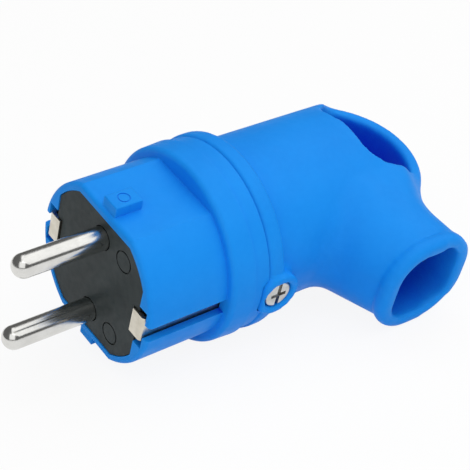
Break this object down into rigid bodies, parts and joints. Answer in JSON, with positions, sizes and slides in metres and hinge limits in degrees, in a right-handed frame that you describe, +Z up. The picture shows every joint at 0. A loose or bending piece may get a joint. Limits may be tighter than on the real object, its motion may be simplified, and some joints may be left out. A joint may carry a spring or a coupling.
{
  "type": "angled rubber plug",
  "caption": "Angled rubber mains plug with round contact pins, side earth contacts, a screwed elbow hood, a beaded side cable outlet and a finger loop for pulling it out.",
  "frame": {"origin": "middle of the engagement face, between the two pins", "axes": "+X runs from the engagement face to the rear of the plug, so the pins point to -X; +Z is up with the plug lying on its collar and its cable outlet, which points to -Y and a little down"},
  "size_m": [0.0959, 0.0533, 0.0404],
  "materials": {
    "blue_rubber": "satin",
    "dark_plastic": "matt",
    "nickel_plate": "bright nickel",
    "earth_strip": "satin plated strip",
    "zinc_steel": "zinc plated"
  },
  "bodies": {
    "root": {"front_shell": "blue_rubber", "hood": "blue_rubber", "contact_insert": "dark_plastic", "back_plate": "dark_plastic", "cord_clamp_bar": "dark_plastic", "upper_pin": "nickel_plate", "lower_pin": "nickel_plate", "pin_clamp_plates": "nickel_plate", "earth_clamp_plate": "nickel_plate", "earth_bracket": "earth_strip", "pin_terminal_screws": "zinc_steel", "earth_terminal_screw": "zinc_steel", "back_plate_screws": "zinc_steel", "cord_clamp_screws": "zinc_steel", "hood_screw": "zinc_steel", "hood_nut": "zinc_steel"}
  },
  "joints": []
}
